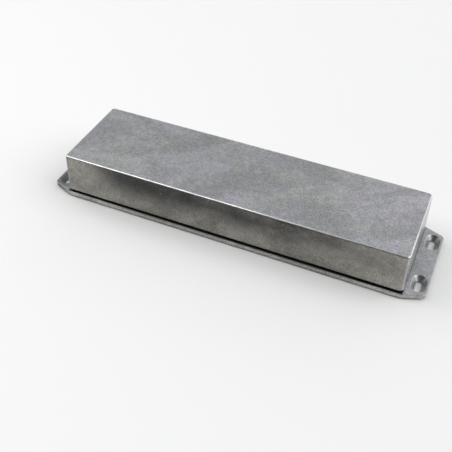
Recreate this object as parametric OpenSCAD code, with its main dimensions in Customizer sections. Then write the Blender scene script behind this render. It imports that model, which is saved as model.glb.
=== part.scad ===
// Flanged die cast enclosure: a drafted box that sits, open side down, on a lid whose ends reach
// out as mounting flanges. A thin gasket fills the joint and four flat head screws close it from below.
// The origin is the middle of the lid's underside, +X runs along the length and +Z points up.

/* [Box] */
// Length of the box outside, at its rim
box_length = 254; // [180:1:320]
// Width of the box outside, at its rim
box_width = 71; // [56:0.2:100]
// Height of the box casting, from its rim to its top
box_height = 29.5; // [24:0.1:60]
// Thickness of the side walls
wall = 2.5; // [2:0.1:3.2]
// Thickness of the closed top
top_wall = 2.6; // [2:0.1:4]
// Draft of the walls, inside and outside, in degrees
draft_angle = 1.3; // [0.5:0.1:3]
// Radius of the upright outside corners where they meet the top
corner_radius = 2.8; // [2:0.1:5]
// Radius of the upright inside corners where they meet the top
inner_corner_radius = 2.4; // [1.6:0.1:4]
// Rounding of the outside top edge
top_rounding = 1.4; // [0.4:0.1:1.8]
// Rounding between the inside walls and the top
inner_rounding = 1.4; // [0.4:0.1:1.5]

/* [Screw posts] */
// Distance of each screw axis from the outside of the box at the rim
post_inset = 5.6; // [5.3:0.1:6.4]
// Radius of a post at the rim
post_radius = 4; // [3.6:0.1:4.6]
// Draft of a post, in degrees
post_draft = 1; // [0.5:0.1:2]
// Depth of the tapped hole in a post, measured from the rim
tap_depth = 14; // [12:0.5:18]

/* [Lid and flanges] */
// Width of the lid
lid_width = 73; // [71.4:0.2:77]
// Thickness of the lid and its flanges
lid_thickness = 3.9; // [3.8:0.1:6]
// Reach of each flange beyond the end of the box
flange_reach = 14.5; // [13.5:0.1:20]
// Distance inside the end of the box at which the sides of a flange start to lean in
flange_setback = 1.2; // [0:0.1:3]
// Width of a flange at its outer end, between the sharp corners of its sides
flange_end_width = 61; // [56:0.5:66]
// Corner radius of the lid's outline
lid_corner_radius = 3.6; // [1.5:0.1:4.5]
// Rounding of the edge round the lid's inner face, towards the box
lid_edge_rounding = 0.5; // [0.2:0.1:1]
// Rounding of the edge round the lid's outer face, underneath
lid_foot_rounding = 1.2; // [0.2:0.1:1.4]

/* [Mounting slots] */
// Width of a mounting slot
slot_width = 4.4; // [4:0.1:4.8]
// Length of a mounting slot from end to end
slot_length = 10.8; // [8:0.1:12]
// Width of the countersink round a slot, at the flange's upper face
slot_sink_width = 10; // [8:0.1:10.4]
// Distance between the two slots of one flange, centre to centre
slot_spacing = 43.2; // [32:0.2:46]
// Distance of the slots' centre line from the outer end of the flange
slot_end_margin = 6.6; // [6:0.1:7]
// Included angle of the countersinks of slots and screws, in degrees
sink_angle = 82; // [80:1:90]

/* [Joint] */
// Thickness of the gasket between rim and lid
gasket_thickness = 2; // [1:0.1:2.4]
// Width of the gasket's band
gasket_band = 1.9; // [1.4:0.1:2]
// Setback of the gasket from the outside of the rim
gasket_setback = 0.3; // [0.1:0.1:0.5]
// Thickness of the lid's locating ribs
rib_thickness = 2; // [1.5:0.1:3]
// Height of the locating ribs above the rim
rib_height = 2.6; // [1.5:0.1:5]
// Clearance between the locating ribs and the walls or posts
rib_clearance = 0.5; // [0.3:0.1:1]
// Radius of the lid's pads that meet the posts
pad_radius = 3; // [2.8:0.1:3.2]

/* [Lid screws] */
// Diameter of the screws
screw_diameter = 3.5; // [3:0.1:3.6]
// Length of the screws with their heads
screw_length = 12.7; // [10:0.1:16]
// Diameter of the flat heads
head_diameter = 7; // [6.4:0.1:7.4]
// Height of the straight edge round each head
head_edge = 0.25; // [0.1:0.05:0.4]
// Depth of the heads below the lid's underside
head_recess = 0.15; // [0.1:0.05:0.4]
// Chamfer at the tip of the screws
screw_tip = 0.6; // [0.3:0.1:1]
// Clearance round the screws in the lid
screw_clearance = 0.2; // [0.1:0.05:0.3]
// Clearance round the screws in the tapped holes
thread_clearance = 0.05; // [0.02:0.01:0.1]
// Width of the wings of the cross recess
recess_wing = 1; // [0.8:0.05:1.2]
// Width of the cross recess across its wings
recess_width = 3.9; // [3:0.1:4.4]
// Depth of the cross recess
recess_depth = 1.8; // [1.2:0.1:2]

/* [Hidden] */
$fn = 64;
// Overlap that carries a cut past the face it leaves through
over = 0.5;
// Half angle of the drill point at the end of a tapped hole
drill_half_angle = 59;
// How far a post reaches into the closed top
post_root = 1;
// Upright land at the foot of a drafted block
foot_land = 0.01;
// Facets of the rounded castings, round their corners and over their edges
hull_fn = 32;
edge_fn = 16;
casting = [0.63, 0.63, 0.65];
// Step of a radius whose arcs have to meet straight sides exactly
fine_step = 0.01;

rim_z = lid_thickness + gasket_thickness;
cavity_height = box_height - top_wall;
rim_corner = to_step(corner_radius + (box_height - top_rounding) * tan(draft_angle));
cavity_length = box_length - 2 * wall;
cavity_width = box_width - 2 * wall;
lid_length = box_length + 2 * flange_reach;
screw_x = box_length / 2 - post_inset;
screw_y = box_width / 2 - post_inset;
screw_places = [for (x = [-screw_x, screw_x], y = [-screw_y, screw_y]) [x, y]];
screw_radius = screw_diameter / 2;
head_radius = head_diameter / 2;
tap_radius = screw_radius + thread_clearance;
sink_slope = tan(sink_angle / 2);
head_cone = (head_radius - screw_radius) / sink_slope;
slot_radius = slot_width / 2;
slot_sink_radius = slot_sink_width / 2;
slot_sink_depth = (slot_sink_radius - slot_radius) / sink_slope;
slot_straight = slot_length - slot_width;
slot_x = lid_length / 2 - slot_end_margin;

// A length to the nearest fine step
function to_step(length) = round(length / fine_step) * fine_step;

// Corner points of a rectangle, anticlockwise
function rectangle(length, width) = let (x = length / 2, y = width / 2) [[-x, -y], [x, -y], [x, y], [-x, y]];

// Direction of the side that starts at a corner of an outline, in degrees
function side_angle(outline, i) = let (d = outline[(i + 1) % len(outline)] - outline[i]) atan2(d.y, d.x);

// Centres of the arcs that round the corners of a convex, anticlockwise outline to a radius
function arc_centres(outline, radius) = let (n = len(outline)) [
  for (i = [0 : n - 1])
    let (before = side_angle(outline, (i + n - 1) % n) - 90)
    let (after = side_angle(outline, i) - 90)
    let (normals = [cos(before) + cos(after), sin(before) + sin(after)])
    outline[i] - normals * radius / (1 + cos(after - before))
];

// Drafted block with upright corners and a top edge that are rounded, as the die forms it.
// Length and width are at its foot, and the corner radius is where the walls meet the top
module drafted_block(length, width, height, corner, rounding) {
  lean = (height - rounding) * tan(draft_angle);
  foot_corner = corner + lean;
  centres = arc_centres(rectangle(length, width), foot_corner);
  hull() {
    for (c = centres) translate(c) {
      cylinder(r = foot_corner, h = foot_land, $fn = hull_fn);
      translate([0, 0, height - rounding]) rotate_extrude($fn = hull_fn) intersection() {
        translate([corner - rounding, 0]) circle(rounding, $fn = hull_fn);
        square(corner);
      }
    }
  }
}

// Screw posts that taper from the closed top down to the rim
module posts() {
  reach = cavity_height + post_root;
  for (p = screw_places)
    translate(p) cylinder(r1 = post_radius, r2 = post_radius + reach * tan(post_draft), h = reach);
}

// Tapped hole with its drill point, opening at the rim
module tapped_hole() {
  translate([0, 0, -over]) cylinder(r = tap_radius, h = tap_depth + over);
  translate([0, 0, tap_depth]) cylinder(r1 = tap_radius, r2 = 0, h = tap_radius / tan(drill_half_angle));
}

module box() {
  color(casting) translate([0, 0, rim_z])
    difference() {
      drafted_block(box_length, box_width, box_height, corner_radius, top_rounding);
      difference() {
        drafted_block(cavity_length, cavity_width, cavity_height, inner_corner_radius, inner_rounding);
        posts();
      }
      for (p = screw_places) translate(p) tapped_hole();
    }
}

// Ring that rounds the edge of a lid corner
module edge_ring(rounding) {
  rotate_extrude($fn = hull_fn) translate([lid_corner_radius - rounding, 0]) circle(rounding, $fn = edge_fn);
}

// Plate of the lid with rounded edges: straight along the box, with sides that lean in along the flanges
module lid_plate() {
  x = lid_length / 2;
  shoulder = box_length / 2 - flange_setback;
  side = lid_width / 2;
  end = flange_end_width / 2;
  outline = [
    [-shoulder, -side], [shoulder, -side], [x, -end], [x, end],
    [shoulder, side], [-shoulder, side], [-x, end], [-x, -end]
  ];
  hull() {
    for (c = arc_centres(outline, lid_corner_radius)) translate(c) {
      translate([0, 0, lid_foot_rounding]) edge_ring(lid_foot_rounding);
      translate([0, 0, lid_thickness - lid_edge_rounding]) edge_ring(lid_edge_rounding);
    }
  }
}

// Countersunk mounting slot, long across the flange
module mounting_slot() {
  sink_z = lid_thickness - slot_sink_depth;
  wide = slot_sink_radius + over * sink_slope;
  depth = slot_sink_depth + over;
  translate([-slot_radius, -slot_straight / 2, -over]) cube([slot_width, slot_straight, lid_thickness]);
  for (y = [-slot_straight / 2, slot_straight / 2]) translate([0, y, 0]) {
    translate([0, 0, -over]) cylinder(r = slot_radius, h = lid_thickness);
    translate([0, 0, sink_z]) cylinder(r1 = slot_radius, r2 = wide, h = depth);
  }
  translate([0, slot_straight / 2, sink_z]) rotate([90, 0, 0]) linear_extrude(slot_straight)
    polygon([[-slot_radius, 0], [slot_radius, 0], [wide, depth], [-wide, depth]]);
}

// Bar with round ends, standing on the lid
module rib(length) {
  height = gasket_thickness + rib_height;
  straight = length - rib_thickness;
  translate([-straight / 2, -rib_thickness / 2, 0]) cube([straight, rib_thickness, height]);
  for (x = [-straight / 2, straight / 2]) translate([x, 0, 0]) cylinder(d = rib_thickness, h = height);
}

// Locating ribs that stand just inside the walls, between the posts
module locating_ribs() {
  inside = rib_clearance + rib_thickness / 2;
  post_space = post_radius + rib_clearance;
  side_rib = 2 * (screw_x - post_space);
  end_rib = 2 * (screw_y - post_space);
  translate([0, 0, lid_thickness]) for (side = [-1, 1]) {
    translate([0, side * (cavity_width / 2 - inside), 0]) rib(side_rib);
    translate([side * (cavity_length / 2 - inside), 0, 0]) rotate([0, 0, 90]) rib(end_rib);
  }
}

// Countersunk screw hole through the lid and its pad, with its sink in the underside
module screw_hole() {
  sink = head_recess + head_edge;
  translate([0, 0, -over]) cylinder(r = screw_radius + screw_clearance, h = rim_z + 2 * over);
  translate([0, 0, -over]) cylinder(r = head_radius, h = sink + over);
  translate([0, 0, sink]) cylinder(r1 = head_radius, r2 = screw_radius, h = head_cone);
}

module flanged_lid() {
  color(casting) difference() {
    union() {
      lid_plate();
      locating_ribs();
      for (p = screw_places)
        translate([p.x, p.y, lid_thickness]) cylinder(r = pad_radius, h = gasket_thickness);
    }
    for (p = screw_places) translate(p) screw_hole();
    for (x = [-slot_x, slot_x], y = [-slot_spacing / 2, slot_spacing / 2])
      translate([x, y, 0]) mounting_slot();
  }
}

// Flat rectangle with round corners
module rounded_rectangle(length, width, radius) {
  square([length - 2 * radius, width], center = true);
  square([length, width - 2 * radius], center = true);
  for (p = rectangle(length - 2 * radius, width - 2 * radius)) translate(p) circle(radius);
}

module gasket() {
  inset = gasket_setback + gasket_band;
  outer_radius = rim_corner - gasket_setback;
  color([0.05, 0.05, 0.055]) translate([0, 0, lid_thickness]) linear_extrude(gasket_thickness)
    difference() {
      rounded_rectangle(box_length - 2 * gasket_setback, box_width - 2 * gasket_setback, outer_radius);
      rounded_rectangle(box_length - 2 * inset, box_width - 2 * inset, outer_radius - gasket_band);
    }
}

// Cross recess: two crossed wings that lean in towards the bottom
module cross_recess() {
  intersection() {
    translate([0, 0, -over]) union() {
      for (a = [0, 90]) rotate([0, 0, a]) translate([-recess_width / 2, -recess_wing / 2, 0])
        cube([recess_width, recess_wing, recess_depth + over]);
    }
    union() {
      cylinder(r1 = recess_width / 2, r2 = recess_wing / 2, h = recess_depth);
      translate([0, 0, -over]) cylinder(r = recess_width / 2, h = over);
    }
  }
}

// Flat head screw, head down, with its axis on the origin
module flat_head_screw() {
  difference() {
    rotate_extrude() polygon([
      [0, 0], [head_radius, 0], [head_radius, head_edge], [screw_radius, head_edge + head_cone],
      [screw_radius, screw_length - screw_tip], [screw_radius - screw_tip, screw_length], [0, screw_length]
    ]);
    cross_recess();
  }
}

module lid_screws() {
  color([0.72, 0.72, 0.7]) for (p = screw_places) translate([p.x, p.y, head_recess]) flat_head_screw();
}

box();
flanged_lid();
gasket();
lid_screws();
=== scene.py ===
# %% [markdown]
# # A flanged die cast enclosure
# A long aluminium box stands, open side down, on a lid whose ends reach out as mounting flanges.
# A strip of black rubber fills the joint between them, and four flat head screws close it from below.
# The shapes come from the imported frame at their real size. This lesson gives them the skin of bare
# die cast metal: softened edges, cloudy flow marks, fine grain and burnished edges, with a painted
# highlight on the edges and painted shade on the walls and in the seam.

# %% Load the frame
import math

import bmesh
import bpy
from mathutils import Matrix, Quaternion, Vector


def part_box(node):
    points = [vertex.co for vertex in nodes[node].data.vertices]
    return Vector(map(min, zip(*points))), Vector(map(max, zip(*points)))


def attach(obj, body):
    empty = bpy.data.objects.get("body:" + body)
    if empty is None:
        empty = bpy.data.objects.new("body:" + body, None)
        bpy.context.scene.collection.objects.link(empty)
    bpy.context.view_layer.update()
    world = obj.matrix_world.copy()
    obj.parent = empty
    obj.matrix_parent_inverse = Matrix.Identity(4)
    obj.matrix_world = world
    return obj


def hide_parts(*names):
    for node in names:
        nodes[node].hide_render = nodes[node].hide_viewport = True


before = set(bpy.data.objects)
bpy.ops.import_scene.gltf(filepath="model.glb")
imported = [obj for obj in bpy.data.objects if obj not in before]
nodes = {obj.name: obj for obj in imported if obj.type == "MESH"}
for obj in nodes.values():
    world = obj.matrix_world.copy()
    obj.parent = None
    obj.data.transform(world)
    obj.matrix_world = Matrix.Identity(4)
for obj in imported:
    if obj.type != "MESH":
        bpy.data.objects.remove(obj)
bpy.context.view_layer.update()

MM = 0.001
box_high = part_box("box")[1]
lid_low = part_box("flanged_lid")[0]
gasket_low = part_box("gasket")[0]
print("nodes:", sorted(nodes))

# %% [markdown]
# ## Camera
# A long box shows its vanishing lines clearly, so its straight edges are enough to work out where the
# camera stood and how long its lens was. A lens that is given in pixels turns into millimetres on the
# sensor by one proportion. The camera could also follow an empty by a Track To constraint, but a plain
# place and a plain rotation are easier to read and can't be pulled about by anything else.

# %% Camera
image_px = 452
focal_px = 720.4
sensor_mm = 36
camera_place = Vector((142.7, -372.8, 350.8)) * MM
camera_azimuth = math.radians(22.695)
camera_elevation = math.radians(42.472)
camera_roll = math.radians(1.29)


def towards_viewer(azimuth, elevation):
    """Direction from the object to a viewer: azimuth 0 looks along +Y, elevation is above the floor."""
    level = math.cos(elevation)
    return Vector((math.sin(azimuth) * level, -math.cos(azimuth) * level, math.sin(elevation)))


def looking_along(direction):
    """Rotation that points an object's -Z axis along a direction, with its Y axis up."""
    return direction.to_track_quat("-Z", "Y")


camera = bpy.data.objects.new("camera", bpy.data.cameras.new("camera"))
camera.data.sensor_width = sensor_mm
camera.data.lens = focal_px / image_px * sensor_mm
camera.location = camera_place
camera.rotation_mode = "QUATERNION"
roll = Quaternion((0, 0, 1), camera_roll)
camera.rotation_quaternion = looking_along(-towards_viewer(camera_azimuth, camera_elevation)) @ roll
bpy.context.scene.collection.objects.link(camera)
bpy.context.scene.camera = camera
print("lens in mm:", round(camera.data.lens, 2))

# %% [markdown]
# ## Node helpers
# A shader is a graph, and writing each link by hand soon hides what it does. A few small helpers keep it
# readable: one opens a material, one adds a node and fills its sockets with numbers or with other nodes'
# outputs, and the others give the three things that are needed all the time, a sum, a smooth ramp and a
# mix of colours.

# %% Node helpers


def new_material(name):
    """A material with its node tree and its Principled shader."""
    made = bpy.data.materials.new(name)
    made.use_nodes = True
    return made, made.node_tree, made.node_tree.nodes["Principled BSDF"]


def add(tree, kind, inputs=None, **settings):
    """A shader node with its settings, and its input sockets set to values or linked to outputs."""
    made = tree.nodes.new("ShaderNode" + kind)
    for name, value in settings.items():
        setattr(made, name, value)
    for name, value in (inputs or {}).items():
        if isinstance(value, bpy.types.NodeSocket):
            tree.links.new(value, made.inputs[name])
        else:
            made.inputs[name].default_value = value
    return made


def math_node(tree, operation, *values):
    """The value of a Math node on one, two or three values or outputs."""
    return add(tree, "Math", dict(enumerate(values)), operation=operation).outputs[0]


def ramp(tree, value, low, high, to_low=0.0, to_high=1.0):
    """A value that runs smoothly from one number to another while its input runs from low to high."""
    inputs = {"Value": value, "From Min": low, "From Max": high, "To Min": to_low, "To Max": to_high}
    return add(tree, "MapRange", inputs, interpolation_type="SMOOTHSTEP").outputs["Result"]


def mix_colours(tree, share, first, second):
    """First colour where the share is 0, second colour where it is 1."""
    # A Mix node takes its share on socket 0, numbers on 2 and 3, and colours on 6 and 7.
    return add(tree, "Mix", {0: share, 6: first, 7: second}, data_type="RGBA").outputs[2]


print("helpers ready")

# %% [markdown]
# ## Light
# Bare metal has almost no colour of its own: it shows what stands around it. The flat top of the box
# shows the space behind it, its rounded front edge shows what hangs overhead, and its front shows the
# floor before it. So the studio is built for those views: a grey room that is lighter behind the object
# than in front of it, a soft box overhead to the left that draws the bright line along the front edge
# and lets it fade to the right, and a pale screen behind that lights the edge at the right end. Two
# large soft boxes far off, at the left and at the right, light the floor evenly all round and add a
# little sheen to the ends. Each lamp is set by how bright its face looks, where 1 is white, and not by
# its watts.

# %% Room and lamps
bpy.context.scene.view_settings.view_transform = "Standard"
room_tint = (0.98, 0.99, 1.03, 1)
room_in_front = 0.09
room_behind = 0.53
# A span is the pair of values between which a ramp runs.
room_span = (-0.75, 0.1)

world = bpy.data.worlds.new("grey_room")
world.use_nodes = True
bpy.context.scene.world = world
background = world.node_tree.nodes["Background"]
background.inputs["Color"].default_value = room_tint
direction = add(world.node_tree, "TexCoord").outputs["Generated"]
towards_back = add(world.node_tree, "SeparateXYZ", {"Vector": direction}).outputs["Y"]
room_light = ramp(world.node_tree, towards_back, *room_span, room_in_front, room_behind)
world.node_tree.links.new(room_light, background.inputs["Strength"])


def softbox(name, place, target, width, height, brightness):
    """A rectangular lamp, in metres, that faces a target and whose face looks as bright as given."""
    lamp = bpy.data.lights.new(name, "AREA")
    lamp.shape = "RECTANGLE"
    lamp.size = width
    lamp.size_y = height
    lamp.energy = brightness * math.pi * width * height
    made = bpy.data.objects.new(name, lamp)
    made.location = place
    made.rotation_mode = "QUATERNION"
    made.rotation_quaternion = looking_along(Vector(target) - Vector(place))
    made.visible_camera = False
    bpy.context.scene.collection.objects.link(made)


middle = (0, 0, 0)
overhead = (-0.75, -0.35, 1.15)
below_overhead = (-0.75, -0.35, 0)
softbox("overhead_softbox", place=overhead, target=below_overhead, width=1.08, height=0.9, brightness=2.1)
softbox("left_softbox", place=(-3.9, 0.6, 2.7), target=middle, width=3.5, height=3.5, brightness=1.56)
softbox("right_softbox", place=(2.85, 0.45, 2.7), target=middle, width=3.3, height=3.3, brightness=2.1)
softbox("back_screen", place=(0.5, 1.3, 0.4), target=middle, width=2.2, height=0.75, brightness=0.92)

# %% [markdown]
# ## Floor
# The floor is one sheet of white paper under the lid. It takes the object's soft shadow, and the metal
# takes the floor's reflection. A share of plain white for the camera's rays alone could lift it, but that
# would lift its shadows too, and white paper under this light is bright enough. Its underside is clear,
# so that a view from below still finds the object, and a ray that has come up through it finds it clear
# on its way back too, so that the lid is lit there. A real lid bows a little between its screws and
# stands on its middle, so its edges are a hair above the table. The sheet lies that hair lower, and the
# gap draws the dark line along the foot of the lid.

# %% Floor
floor_half = 3.0
floor_colour = (0.9, 0.9, 0.885, 1)
floor_drop = 0.6 * MM


def floor_material():
    """Matt white paper above, and nothing at all seen from below."""
    made, tree, paper = new_material("pale_floor")
    paper.inputs["Base Color"].default_value = floor_colour
    paper.inputs["Roughness"].default_value = 1
    paper.inputs["Specular IOR Level"].default_value = 0
    clear = add(tree, "BsdfTransparent")
    under = add(tree, "NewGeometry").outputs["Backfacing"]
    came_through = add(tree, "LightPath").outputs["Transparent Depth"]
    unseen = math_node(tree, "MAXIMUM", under, math_node(tree, "GREATER_THAN", came_through, 0.5))
    both = add(tree, "MixShader", {0: unseen, 1: paper.outputs[0], 2: clear.outputs[0]})
    tree.links.new(both.outputs[0], tree.nodes["Material Output"].inputs["Surface"])
    return made


floor_mesh = bpy.data.meshes.new("floor")
floor_z = lid_low.z - floor_drop
corners = [(x * floor_half, y * floor_half, floor_z) for x, y in ((-1, -1), (1, -1), (1, 1), (-1, 1))]
floor_mesh.from_pydata(corners, [], [(0, 1, 2, 3)])
floor_mesh.materials.append(floor_material())
floor = bpy.data.objects.new("floor", floor_mesh)
bpy.context.scene.collection.objects.link(floor)
print("floor in mm:", round(floor_z / MM, 2))

# %% [markdown]
# ## Smooth faces
# A mesh that comes from CAD keeps every face apart, so it shades as flat facets. The faces could be
# merged in the mesh, but the frame's meshes stay as they are. A modifier with a small tree of geometry
# nodes does it on top of them: it drops the stored normals, welds the faces, and shades them smoothly
# where they meet at a low angle.

# %% Smooth faces
weld_distance = 0.001 * MM
sharp_angle = math.radians(32)


def weld_and_shade():
    """Geometry nodes that join the faces of a CAD mesh and shade them smooth below the sharp angle."""
    tree = bpy.data.node_groups.new("weld_and_shade", "GeometryNodeTree")
    for way in ("INPUT", "OUTPUT"):
        tree.interface.new_socket("Geometry", in_out=way, socket_type="NodeSocketGeometry")
    start = tree.nodes.new("NodeGroupInput")
    forget = tree.nodes.new("GeometryNodeRemoveAttribute")
    forget.inputs["Name"].default_value = "custom_normal"
    weld = tree.nodes.new("GeometryNodeMergeByDistance")
    weld.inputs["Distance"].default_value = weld_distance
    faces = tree.nodes.new("GeometryNodeSetShadeSmooth")
    edges = tree.nodes.new("GeometryNodeSetShadeSmooth")
    edges.domain = "EDGE"
    angle = tree.nodes.new("GeometryNodeInputMeshEdgeAngle")
    low = tree.nodes.new("FunctionNodeCompare")
    low.operation = "LESS_THAN"
    low.inputs["B"].default_value = sharp_angle
    end = tree.nodes.new("NodeGroupOutput")
    tree.links.new(angle.outputs["Unsigned Angle"], low.inputs["A"])
    tree.links.new(low.outputs["Result"], edges.inputs["Shade Smooth"])
    for before, after in ((start, forget), (forget, weld), (weld, faces), (faces, edges), (edges, end)):
        tree.links.new(before.outputs[0], after.inputs["Geometry"])
    return tree


welded = weld_and_shade()
print("group:", welded.name)

# %% [markdown]
# ## Softened edges
# A casting comes out of the tumbler with all its edges broken, while a CAD model's edges are sharp. The
# CAD could carry these tiny roundings too, but at the cost of many small faces. Three more modifiers make
# them: one joins what is flat, one rounds what is still sharp, and one lets the large faces lead the
# normals, so that flat metal stays flat right up to its rounded edge.

# %% Softened edges
flat_angle = math.radians(0.2)
edge_segments = 2


def soften(piece, width):
    """The modifiers that turn a faceted CAD mesh into a smooth one with edges rounded to a width."""
    piece.modifiers.new("weld", "NODES").node_group = welded
    flats = piece.modifiers.new("flats", "DECIMATE")
    flats.decimate_type = "DISSOLVE"
    flats.angle_limit = flat_angle
    rounding = piece.modifiers.new("rounding", "BEVEL")
    rounding.limit_method = "ANGLE"
    rounding.angle_limit = sharp_angle
    rounding.width = width
    rounding.segments = edge_segments
    rounding.use_clamp_overlap = False
    piece.modifiers.new("normals", "WEIGHTED_NORMAL").keep_sharp = True


edge_break = {"box": 0.15 * MM, "flanged_lid": 0.15 * MM, "gasket": 0.3 * MM}
for name, width in edge_break.items():
    soften(nodes[name], width)
print("softened:", {name: width / MM for name, width in edge_break.items()})

# %% [markdown]
# ## Node groups
# Box and lid come from the same alloy and the same tumbler, so they share their effects: clouds, grain,
# burnished edges, streaks, smoke and grime. Each effect is a node group with its sizes as inputs in
# millimetres, built once and placed in each material with its own values.

# %% Group helpers


def open_group(name, inputs, outputs):
    """A shader node group with float inputs that have defaults, and named outputs."""
    tree = bpy.data.node_groups.new(name, "ShaderNodeTree")
    for label, default in inputs.items():
        socket = tree.interface.new_socket(label, in_out="INPUT", socket_type="NodeSocketFloat")
        socket.default_value = default
    for label in outputs:
        tree.interface.new_socket(label, in_out="OUTPUT", socket_type="NodeSocketFloat")
    return tree, tree.nodes.new("NodeGroupInput").outputs, tree.nodes.new("NodeGroupOutput").inputs


def place_group(tree, group, **values):
    """An instance of a node group in a material, with its inputs set by name."""
    made = add(tree, "Group", node_tree=group)
    for label, value in values.items():
        made.inputs[label.replace("_", " ")].default_value = value
    return made.outputs


def in_millimetres(tree):
    """The object's own coordinates in millimetres, so that every scale below is a real size."""
    place = add(tree, "TexCoord").outputs["Object"]
    return add(tree, "VectorMath", {0: place, "Scale": 1 / MM}, operation="SCALE").outputs[0]


def noise_of(tree, place, size, **inputs):
    """A noise whose features are about as large as a size in millimetres, given or linked."""
    scale = math_node(tree, "DIVIDE", 1, size)
    return add(tree, "TexNoise", {"Vector": place, "Scale": scale, **inputs}).outputs["Fac"]


print("group helpers ready")

# %% [markdown]
# ## Flow marks
# Molten aluminium chills as it shoots through the die, and the fronts where it folds over itself stay
# in the skin as soft clouds, lighter and darker, a few centimetres across. One noise alone would look
# like fog, so two make them: a broad one that is bent by its own distortion into drawn-out smears, and a
# finer one that mottles it. The smears run slantwise over the box, twice as long as wide. Noise has no
# end, so a shift picks the stretch of it that lies on the box. A third noise turns the tint from an olive
# to a violet grey.

# %% Flow marks
smear_turn = math.radians(34)
smear_stretch = (2, 1, 1)
smear_shift = (175, -197, 0)
cloud_span = (0.32, 0.68)
tint_span = (0.35, 0.65)


def flow_marks_group():
    """Clouds and tint between 0 and 1, by the sizes of clouds, mottle and tint in millimetres."""
    inputs = {"Cloud Size": 34, "Mottle Size": 5, "Mottle": 0.35, "Tint Size": 24}
    tree, given, out = open_group("flow_marks", inputs, ["Clouds", "Tint"])
    place = in_millimetres(tree)
    turn = {"Location": smear_shift, "Rotation": (0, 0, smear_turn), "Scale": smear_stretch}
    smeared = add(tree, "Mapping", {"Vector": place, **turn}, vector_type="TEXTURE").outputs[0]
    broad = noise_of(tree, smeared, given["Cloud Size"], Detail=3, Distortion=1.1)
    fine = noise_of(tree, place, given["Mottle Size"], Detail=4, Roughness=0.6)
    both = add(tree, "Mix", {0: given["Mottle"], 2: broad, 3: fine})
    tree.links.new(ramp(tree, both.outputs[0], *cloud_span), out["Clouds"])
    tint = noise_of(tree, place, given["Tint Size"], Detail=2, Distortion=0.5)
    tree.links.new(ramp(tree, tint, *tint_span), out["Tint"])
    return tree


flow_marks = flow_marks_group()
print("group:", flow_marks.name)

# %% [markdown]
# ## Grain
# Tumbling in stones peens the skin into a fine pepper of dents and bright nicks, and gas leaves a few
# dark pits. The grain comes from a noise of about a millimetre, pits and nicks from the cells of a
# Voronoi texture: a cell's own random colour decides whether it holds a pit, a nick or nothing. Dents
# this small would take millions of faces in the mesh, so they are left to the materials.

# %% Grain
pit_bottom = 0.5


def grain_group():
    """Grain around 0.5, and masks of sparse pits and nicks, with Pit Radius as a share of Pit Spacing."""
    sizes = {"Grain Size": 0.9, "Pit Spacing": 6, "Pit Radius": 0.09}
    shares = {"Pit Share": 0.2, "Nick Share": 0.25}
    tree, given, out = open_group("grain", {**sizes, **shares}, ["Grain", "Pits", "Nicks"])
    place = in_millimetres(tree)
    noise = noise_of(tree, place, given["Grain Size"], Detail=3, Roughness=0.7)
    tree.links.new(noise, out["Grain"])
    density = math_node(tree, "DIVIDE", 1, given["Pit Spacing"])
    cells = add(tree, "TexVoronoi", {"Vector": place, "Scale": density, "Randomness": 1})
    bottom = math_node(tree, "MULTIPLY", given["Pit Radius"], pit_bottom)
    near = ramp(tree, cells.outputs["Distance"], given["Pit Radius"], bottom)
    lot = add(tree, "SeparateColor", {"Color": cells.outputs["Color"]}).outputs[0]
    pitted = math_node(tree, "LESS_THAN", lot, given["Pit Share"])
    tree.links.new(math_node(tree, "MULTIPLY", near, pitted), out["Pits"])
    nicked = math_node(tree, "GREATER_THAN", lot, math_node(tree, "SUBTRACT", 1, given["Nick Share"]))
    tree.links.new(math_node(tree, "MULTIPLY", near, nicked), out["Nicks"])
    return tree


grain = grain_group()
print("group:", grain.name)

# %% [markdown]
# ## Burnished edges
# Stones and hands reach the edges first, so rounded edges are smoother than flat skin. They are also
# brighter, partly as wear and partly as a painted highlight. An edge could be found by its pointiness,
# but that needs an even, dense mesh. The normal tells it as well: it points straight up on a level face
# and straight out on a wall, and only a rounding, or the cone of a countersink, lies between the two.
# An upright corner, which takes a little painted reflection, is found in the same way, as a wall that
# faces neither along the box nor across it. The walls that do face so, the end walls and the long ones,
# have a mask each.

# %% Burnished edges
corner_span = (0.92, 0.8)
upright_span = (0.4, 0.1)
off_level_span = (0.995, 0.93)
off_wall_span = (0.3, 0.65)
rubbed_span = (0.35, 0.6)
long_wall_span = (0.6, 0.95)
end_wall_span = (0.8, 0.95)


def burnish_group():
    """Masks of slanting edges, broken up by noise, of upright corners, of long walls and of end walls."""
    inputs = {"Break Up": 0.4, "Break Size": 9}
    tree, given, out = open_group("burnish", inputs, ["Edges", "Corners", "Long Walls", "End Walls"])
    normal = add(tree, "NewGeometry").outputs["Normal"]
    parts = add(tree, "SeparateXYZ", {"Vector": normal}).outputs
    along, across, up = [math_node(tree, "ABSOLUTE", parts[axis]) for axis in "XYZ"]
    corner = ramp(tree, math_node(tree, "MAXIMUM", along, across), *corner_span)
    upright = ramp(tree, up, *upright_span)
    tree.links.new(math_node(tree, "MULTIPLY", corner, upright), out["Corners"])
    off_level = ramp(tree, up, *off_level_span)
    slanting = math_node(tree, "MULTIPLY", off_level, ramp(tree, up, *off_wall_span))
    rubbed = ramp(tree, noise_of(tree, in_millimetres(tree), given["Break Size"], Detail=5), *rubbed_span)
    kept = math_node(tree, "SUBTRACT", 1, math_node(tree, "MULTIPLY", given["Break Up"], rubbed))
    tree.links.new(math_node(tree, "MULTIPLY", slanting, kept), out["Edges"])
    tree.links.new(ramp(tree, across, *long_wall_span), out["Long Walls"])
    tree.links.new(ramp(tree, along, *end_wall_span), out["End Walls"])
    return tree


burnish = burnish_group()
print("group:", burnish.name)

# %% [markdown]
# ## Drag streaks
# As the die opens it slides along the walls, and leaves faint upright streaks in them. A wave texture
# could draw them, but far too evenly. A noise that is squeezed along the wall and stretched up it gives
# uneven ones, and a broad second noise lets them come and go.

# %% Drag streaks
streak_span = (0.4, 0.7)
patch_span = (0.4, 0.65)


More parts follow.
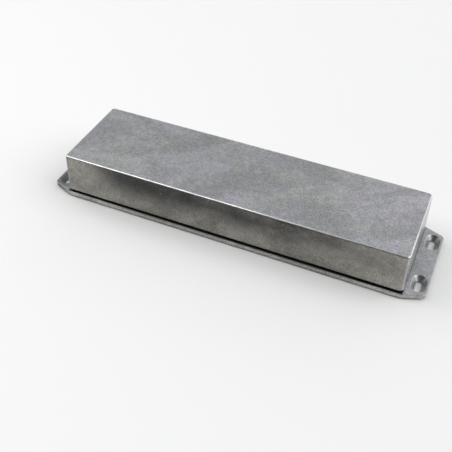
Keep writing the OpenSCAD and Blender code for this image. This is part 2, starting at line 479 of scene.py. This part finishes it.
def drag_group():
    """Streaks between 0 and 1 that run up the walls, by their width and length in millimetres."""
    inputs = {"Streak Width": 0.9, "Streak Length": 30, "Patch Size": 20}
    tree, given, out = open_group("drag_streaks", inputs, ["Streaks"])
    across = math_node(tree, "DIVIDE", 1, given["Streak Width"])
    along = math_node(tree, "DIVIDE", 1, given["Streak Length"])
    scale = add(tree, "CombineXYZ", {"X": across, "Y": across, "Z": along}).outputs[0]
    place = in_millimetres(tree)
    squeezed = add(tree, "VectorMath", {0: place, 1: scale}, operation="MULTIPLY").outputs[0]
    lines = ramp(tree, noise_of(tree, squeezed, 1, Detail=3, Roughness=0.6), *streak_span)
    patches = ramp(tree, noise_of(tree, place, given["Patch Size"], Detail=2), *patch_span)
    tree.links.new(math_node(tree, "MULTIPLY", lines, patches), out["Streaks"])
    return tree


drag_streaks = drag_group()
print("group:", drag_streaks.name)

# %% [markdown]
# ## Painted wall shade
# A painted shade darkens the upper half of the long walls. It is the painted reflection of something dark
# before the box. It is darkest at one place along the walls, and thins out towards the rim and both ends.
# A painted image would need an unwrapped mesh, so ramps over the object's own coordinates set where it
# lies, and a noise turns it into clouds. They are longer than high, and a shift picks the stretch of
# noise.

# %% Painted wall shade
shade_cloud_scale = (0.6, 1, 1)
shade_cloud_shift = (127, 0, -283)
fade_span = (0.45, 1)
billow_span = (0.3, 0.65)
thin_shade = 0.6


def wall_shade_group():
    """Painted shade between 0 and 1: from the foot up to the head of the walls, and from its centre to
    the ends.
    """
    heights = {"Foot": 8, "Head": 30, "Foot Smoke": 0.15}
    lengths = {"Centre": -70, "Left Reach": 44, "Right Reach": 225, "Cloud Size": 22}
    tree, given, out = open_group("painted_wall_shade", {**heights, **lengths}, ["Smoke"])
    place = in_millimetres(tree)
    parts = add(tree, "SeparateXYZ", {"Vector": place}).outputs
    high = ramp(tree, parts["Z"], given["Foot"], given["Head"], given["Foot Smoke"], 1)
    from_centre = math_node(tree, "SUBTRACT", parts["X"], given["Centre"])
    to_left = math_node(tree, "DIVIDE", math_node(tree, "MULTIPLY", from_centre, -1), given["Left Reach"])
    to_right = math_node(tree, "DIVIDE", from_centre, given["Right Reach"])
    inside = ramp(tree, math_node(tree, "MAXIMUM", to_left, to_right), *fade_span, 1, 0)
    laid = add(tree, "VectorMath", {0: place, 1: shade_cloud_scale, 2: shade_cloud_shift}, operation="MULTIPLY_ADD")
    clouds = noise_of(tree, laid.outputs[0], given["Cloud Size"], Detail=4, Distortion=0.4)
    billows = ramp(tree, clouds, *billow_span, thin_shade, 1)
    painted_shade = math_node(tree, "MULTIPLY", math_node(tree, "MULTIPLY", high, inside), billows)
    tree.links.new(painted_shade, out["Smoke"])
    return tree


painted_wall_shade = wall_shade_group()
print("group:", painted_wall_shade.name)

# %% [markdown]
# ## Painted seam shade
# A painted shade darkens the joint, where shade falls: the lid's ledge, the corner at the foot of the
# gasket and that at the foot of the box's end walls. Ambient occlusion could find that corner, but it
# would find all the others too. The mask here is the distance from the outline of the rim, which is zero
# inside it and grows outwards on all sides, turned round so that it fades away from the corner. A lid
# bows between its screws, so the joint gapes in the middle of the long sides and the painted shade
# reaches further out there. A ramp over the height keeps it on the ledge, and off the lid's side and
# underside.

# %% Painted seam shade
seam_shade_span = (1, 0.35)
ledge_span = (1, 0.2)


def seam_shade_group():
    """Painted shade between 0 and 1 round the rim, by the rim's halves, and by its own reach, bow and
    height.
    """
    halves = {"Half Length": box_high.x / MM, "Half Width": box_high.y / MM}
    reaches = {"End Reach": 0.1, "Side Reach": 0.9, "Bow": 0.8, "Height": gasket_low.z / MM, "Depth": 0.5}
    tree, given, out = open_group("painted_seam_shade", {**halves, **reaches}, ["Grime"])
    parts = add(tree, "SeparateXYZ", {"Vector": in_millimetres(tree)}).outputs
    from_middle = math_node(tree, "DIVIDE", parts["X"], given["Half Length"])
    bowed = math_node(tree, "SUBTRACT", 1, math_node(tree, "MULTIPLY", from_middle, from_middle))
    gaping = math_node(tree, "MULTIPLY_ADD", given["Bow"], bowed, 1)
    side_reach = math_node(tree, "MULTIPLY", given["Side Reach"], gaping)
    outside = []
    for axis, half, reach in (("X", "Half Length", given["End Reach"]), ("Y", "Half Width", side_reach)):
        past = math_node(tree, "SUBTRACT", math_node(tree, "ABSOLUTE", parts[axis]), given[half])
        outside.append(math_node(tree, "DIVIDE", math_node(tree, "MAXIMUM", past, 0), reach))
    flat = add(tree, "CombineXYZ", {"X": outside[0], "Y": outside[1]}).outputs[0]
    distance = add(tree, "VectorMath", {0: flat}, operation="LENGTH").outputs["Value"]
    below = math_node(tree, "SUBTRACT", given["Height"], parts["Z"])
    high = ramp(tree, math_node(tree, "DIVIDE", below, given["Depth"]), *ledge_span)
    tree.links.new(math_node(tree, "MULTIPLY", ramp(tree, distance, *seam_shade_span), high), out["Grime"])
    return tree


painted_seam_shade = seam_shade_group()
print("group:", painted_seam_shade.name)

# %% [markdown]
# ## Colours of the casting
# Box and lid are castings of one alloy, so they take their colours from the same few greys. The long
# walls are painted darker and warmer than the level faces, as painted shade, with the painted wall shade
# over them. The lid has little of that wall shade, but its left flange is painted darker all over, as
# painted shade. Clouds, grain and streaks then make the mixed colour lighter or darker. It could all be
# painted on by hand, but a colour that is mixed by masks can still be changed at any layer.

# %% Colours of the casting
olive_grey = (0.44, 0.447, 0.437, 1)
violet_grey = (0.46, 0.458, 0.482, 1)
# The long walls' grey is darker and warmer than the level faces' grey: painted shade.
shaded_wall_grey = (0.297, 0.288, 0.261, 1)
lid_grey = (0.42, 0.416, 0.387, 1)
# The dark grey of every painted shade: on the walls, on the left flange and in the seam.
shade_grey = (0.058, 0.058, 0.056, 1)
# Where the left flange is painted darker all over, as painted shade.
left_end_shade_place = {"Centre": -142, "Left_Reach": 20, "Right_Reach": 20, "Foot": -2, "Head": -1}
cloud_tones = (0.82, 1.18)
grain_span = (0.3, 0.7)
grain_tones = (0.7, 1.3)
streak_tone = 0.18


def casting_colour(tree, flow, wear, wall, wall_shade, left_end_shade):
    """Tinted level faces, long walls painted darker under the painted wall shade, and painted shade over
    the left end.
    """
    # The painted wall shade: a painted reflection of something dark before the box.
    painted_shade = math_node(tree, "MULTIPLY", place_group(tree, painted_wall_shade)["Smoke"], wall_shade)
    face = mix_colours(tree, flow["Tint"], olive_grey, violet_grey)
    # The long walls take their own darker grey as painted shade, and the painted wall shade over it.
    side = mix_colours(tree, painted_shade, wall, shade_grey)
    metal = mix_colours(tree, wear["Long Walls"], face, side)
    # The left end is painted darker, as painted shade.
    left_end = place_group(tree, painted_wall_shade, **left_end_shade_place)["Smoke"]
    return mix_colours(tree, math_node(tree, "MULTIPLY", left_end, left_end_shade), metal, shade_grey)


def casting_tone(tree, flow, skin, wear, brightness):
    """How light the colour is, by the clouds, the grain and the streaks of the long walls."""
    dark, light = [tone * brightness for tone in cloud_tones]
    clouded = ramp(tree, flow["Clouds"], 0, 1, dark, light)
    peppered = ramp(tree, skin["Grain"], *grain_span, *grain_tones)
    streaks = math_node(tree, "MULTIPLY", place_group(tree, drag_streaks)["Streaks"], wear["Long Walls"])
    streaked = math_node(tree, "MULTIPLY_ADD", streaks, streak_tone, 1)
    return math_node(tree, "MULTIPLY", math_node(tree, "MULTIPLY", clouded, peppered), streaked)


print("tones of the clouds and the grain:", cloud_tones, grain_tones)

# %% [markdown]
# ## Bare cast aluminium
# The two castings' materials could be written out one after the other, but then a change to one is easily
# forgotten in the other, so one function puts both together. Pits darken the skin and nicks brighten it.
# Burnished edges brighten it as wear and as a painted highlight, and upright corners a little as a
# painted reflection. Clouds move the roughness along with the colour, and burnished edges are smoother
# than flat skin, as are the end walls, whose side of the die is polished. Grain and pits go to the bump.
# The lid's edges take little of the painted highlight, so they are hardly brighter than its faces, and
# the painted shade of the seam lies on its ledge.

# %% Bare cast aluminium
bright_grey = (0.67, 0.67, 0.67, 1)
pit_grey = (0.1, 0.1, 0.1, 1)
pit_strength = 0.6
nick_strength = 0.3
# How much upright corners brighten, as a painted reflection.
corner_highlight = 0.1
cloud_roughness = (0.48, 0.4)
worn_roughness = -0.16
polished_roughness = -0.16
pit_height = -1.5
casting_bump = 0.05 * MM
bump_strength = 0.3


def roughen(tree, shader, height, distance):
    """A bump on a shader, as high as a distance in metres."""
    bump = add(tree, "Bump", {"Height": height, "Strength": bump_strength, "Distance": distance})
    tree.links.new(bump.outputs["Normal"], shader.inputs["Normal"])


def cast_aluminium(name, wall, brightness, wall_shade, left_end_shade, shine, seam_shade_strength):
    """Bare casting: clouded metal with painted shade on its walls, pits, nicks, burnished edges with a
    painted highlight, and painted seam shade.
    """
    made, tree, shader = new_material(name)
    flow = place_group(tree, flow_marks)
    skin = place_group(tree, grain)
    wear = place_group(tree, burnish)
    colour = casting_colour(tree, flow, wear, wall, wall_shade, left_end_shade)
    tone = casting_tone(tree, flow, skin, wear, brightness)
    toned = add(tree, "VectorMath", {0: colour, "Scale": tone}, operation="SCALE").outputs[0]
    pits = math_node(tree, "MULTIPLY", skin["Pits"], pit_strength)
    pitted = mix_colours(tree, pits, toned, pit_grey)
    nicks = math_node(tree, "MULTIPLY", skin["Nicks"], nick_strength)
    nicked = mix_colours(tree, nicks, pitted, bright_grey)
    # Upright corners are brightened a little, as a painted reflection.
    corners = math_node(tree, "MULTIPLY", wear["Corners"], corner_highlight)
    worn_and_highlit = math_node(tree, "MAXIMUM", wear["Edges"], corners)
    # Edges are brightened as wear and as a painted highlight.
    rubbed = mix_colours(tree, math_node(tree, "MULTIPLY", worn_and_highlit, shine), nicked, bright_grey)
    # The painted shade of the seam, on the lid's ledge and at the foot of the walls.
    seam_shade_share = math_node(tree, "MULTIPLY", place_group(tree, painted_seam_shade)["Grime"], seam_shade_strength)
    tree.links.new(mix_colours(tree, seam_shade_share, rubbed, shade_grey), shader.inputs["Base Color"])
    rough = ramp(tree, flow["Clouds"], 0, 1, *cloud_roughness)
    smoothed = math_node(tree, "MULTIPLY_ADD", worn_and_highlit, worn_roughness, rough)
    polished = math_node(tree, "MULTIPLY_ADD", wear["End Walls"], polished_roughness, smoothed)
    tree.links.new(polished, shader.inputs["Roughness"])
    shader.inputs["Metallic"].default_value = 1
    height = math_node(tree, "MULTIPLY_ADD", skin["Pits"], pit_height, skin["Grain"])
    roughen(tree, shader, height, casting_bump)
    return made


# Each casting's traits; the lid's left flange and its ledge take painted shade.
box_traits = {"brightness": 1, "wall_shade": 1, "left_end_shade": 0, "shine": 1, "seam_shade_strength": 0}
lid_traits = {"brightness": 1.08, "wall_shade": 0.1, "left_end_shade": 0.55, "shine": 0.1, "seam_shade_strength": 0.95}
box_metal = cast_aluminium("cast_aluminium", shaded_wall_grey, **box_traits)
lid_metal = cast_aluminium("lid_aluminium", lid_grey, **lid_traits)
print("materials:", box_metal.name, lid_metal.name)

# %% [markdown]
# ## Rubber and zinc
# The gasket is black rubber with a little dust in its skin, painted darker than rubber is, as painted
# shade deep in the joint. The screws are steel with a bright zinc plate, whose edges the driver and the
# thread have rubbed brighter still. Each could have a noise of its own, but the shared grain serves both
# at a finer size, and the shared mask of edges finds what is worn on the screws.

# %% Rubber and zinc
# Darker than black rubber is, as painted shade deep in the joint.
rubber_and_shade_black = (0.003, 0.003, 0.003, 1)
rubber_dust = (0.01, 0.01, 0.0095, 1)
dust_span = (0.45, 0.75)
rubber_roughness = (0.75, 0.9)
rubber_gloss = 0.1
rubber_bump = 0.03 * MM
zinc_grey = (0.5, 0.5, 0.47, 1)
zinc_light = (0.62, 0.62, 0.6, 1)
zinc_bright = (0.75, 0.75, 0.74, 1)
zinc_roughness = (0.38, 0.26)


def gasket_rubber():
    """Dull black rubber, painted darker as shade in the joint, dusted grey where the grain is high."""
    made, tree, shader = new_material("gasket_rubber")
    skin = place_group(tree, grain, Grain_Size=0.4)["Grain"]
    dusty = ramp(tree, skin, *dust_span)
    colour = mix_colours(tree, dusty, rubber_and_shade_black, rubber_dust)
    tree.links.new(colour, shader.inputs["Base Color"])
    tree.links.new(ramp(tree, skin, *grain_span, *rubber_roughness), shader.inputs["Roughness"])
    shader.inputs["Specular IOR Level"].default_value = rubber_gloss
    roughen(tree, shader, skin, rubber_bump)
    return made


def screw_zinc():
    """Zinc plated steel with a fine grain and brighter edges."""
    made, tree, shader = new_material("screw_steel")
    skin = place_group(tree, grain, Grain_Size=0.25)["Grain"]
    wear = place_group(tree, burnish, Break_Size=2)["Edges"]
    plate = mix_colours(tree, ramp(tree, skin, *grain_span), zinc_grey, zinc_light)
    tree.links.new(mix_colours(tree, wear, plate, zinc_bright), shader.inputs["Base Color"])
    tree.links.new(ramp(tree, skin, *grain_span, *zinc_roughness), shader.inputs["Roughness"])
    shader.inputs["Metallic"].default_value = 1
    return made


finishes = {
    "box": box_metal,
    "flanged_lid": lid_metal,
    "gasket": gasket_rubber(),
    "lid_screws": screw_zinc(),
}
for name, finish in finishes.items():
    nodes[name].material_slots[0].material = finish
print("finishes:", {name: finish.name for name, finish in finishes.items()})

# %% [markdown]
# ## Rolled thread
# The frame's screws have plain shanks, because a simulation has no use for a thread. A real one is rolled
# from wire: two dies press a groove that climbs by one pitch a turn. The screw here is turned from rings,
# and a vertex on a ring sinks by how far its height and its angle together are from the crest of the
# helix. A screw modifier could sweep the thread too, but rings let the groove run out at both ends.

# %% Rolled thread
screw_low, screw_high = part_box("lid_screws")
screw_length = screw_high.z - screw_low.z
head_radius = 3.5 * MM
head_edge = 0.25 * MM
head_round = 0.08 * MM
neck_height = 2.26 * MM
shank_radius = 1.75 * MM
tip_taper = 0.6 * MM
thread_pitch = 0.8 * MM
thread_depth = 0.4 * MM
flank_slope = 1.5
crest_flat = 0.25
screw_sides = 40
rings_per_pitch = 8
thread_length = screw_length - neck_height


def groove(turns):
    """Depth of the thread's groove between 0 on its crest and 1 at its root, by turns of the helix."""
    away = abs(turns % 1 - 0.5) * 2
    return min(1, max(0, flank_slope * away - crest_flat))


def screw_rings():
    """Radius, height and share of the full thread for each ring, from the head to the tip."""
    yield head_radius - head_round, 0, 0
    yield head_radius, head_round, 0
    yield head_radius, head_edge, 0
    yield shank_radius, neck_height, 0
    steps = math.ceil(thread_length / thread_pitch * rings_per_pitch)
    for step in range(1, steps + 1):
        height = neck_height + thread_length * step / steps
        to_tip = screw_length - height
        run_in = min(1, (height - neck_height) / thread_pitch)
        run_out = min(1, to_tip / thread_pitch)
        yield shank_radius - max(0, tip_taper - to_tip), height, run_in * run_out


def ring_of(made, centre, radius, height, thread):
    """Vertices of one ring, sunk by the groove where the thread passes them."""
    vertices = []
    for side in range(screw_sides):
        turn = side / screw_sides
        reach = radius - thread * thread_depth * groove(height / thread_pitch - turn)
        angle = 2 * math.pi * turn
        place = Vector((math.cos(angle) * reach, math.sin(angle) * reach, height))
        vertices.append(made.verts.new(centre + place))
    return vertices


print("turns of thread:", round(thread_length / thread_pitch, 1))

# %% [markdown]
# ## Cross recess
# A punch presses a cross for the driver into each head, wide at its mouth and narrower at the bottom. A
# boolean could cut it, but it leaves thin, uneven faces. Here two crosses of the same twelve corners are
# joined by walls, and the edges of the larger one are kept as a loop, round which the head can be filled.

# %% Cross recess
recess_half = 1.95 * MM
recess_wing = 0.5 * MM
recess_depth = 1.8 * MM
recess_taper = 0.55


def cross_of(made, centre, half, wing, height):
    """Vertices of a cross with four wings, anticlockwise."""
    vertices = []
    for quarter in range(4):
        turned = Quaternion((0, 0, 1), quarter * math.pi / 2)
        for x, y in ((half, -wing), (half, wing), (wing, wing)):
            vertices.append(made.verts.new(centre + turned @ Vector((x, y, height))))
    return vertices


def wall_between(made, first, second):
    """Faces between two closed loops of as many vertices."""
    for i in range(len(first)):
        made.faces.new((first[i - 1], first[i], second[i], second[i - 1]))


def loop_edges(made, vertices):
    """Edges that close a loop of vertices, made where they are missing."""
    pairs = [(vertices[i - 1], vertices[i]) for i in range(len(vertices))]
    return [made.edges.get(pair) or made.edges.new(pair) for pair in pairs]


print("recess, width and depth in mm:", round(2 * recess_half / MM, 2), round(recess_depth / MM, 2))

# %% [markdown]
# ## Threaded screws
# Four screws stand head down where the frame has its plain ones, each in a corner of their common box.
# They could be four objects, but the frame keeps them as one node, so one mesh stands for it. The face of
# a head is filled between its rim and the mouth of its cross.

# %% Threaded screws


def add_screw(made, centre):
    """One flat head screw, head down, with a rolled thread and a cross recess."""
    rings = [ring_of(made, centre, *ring) for ring in screw_rings()]
    for first, second in zip(rings, rings[1:]):
        wall_between(made, first, second)
    made.faces.new(rings[-1])
    mouth = cross_of(made, centre, recess_half, recess_wing, 0)
    bottom = cross_of(made, centre, recess_half * recess_taper, recess_wing * recess_taper, recess_depth)
    wall_between(made, mouth, bottom)
    made.faces.new(bottom)
    rim = loop_edges(made, rings[0]) + loop_edges(made, mouth)
    bmesh.ops.triangle_fill(made, use_beauty=True, edges=rim)


screw_stock = bmesh.new()
for x in (screw_low.x + head_radius, screw_high.x - head_radius):
    for y in (screw_low.y + head_radius, screw_high.y - head_radius):
        add_screw(screw_stock, Vector((x, y, screw_low.z)))
bmesh.ops.recalc_face_normals(screw_stock, faces=screw_stock.faces)
screws_mesh = bpy.data.meshes.new("threaded_screws")
screw_stock.to_mesh(screws_mesh)
screw_stock.free()
screws_mesh.materials.append(finishes["lid_screws"])
screws = bpy.data.objects.new("threaded_screws", screws_mesh)
bpy.context.scene.collection.objects.link(screws)
screws.modifiers.new("weld", "NODES").node_group = welded
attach(screws, "root")
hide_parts("lid_screws")
print("screws:", len(screws_mesh.polygons), "faces")
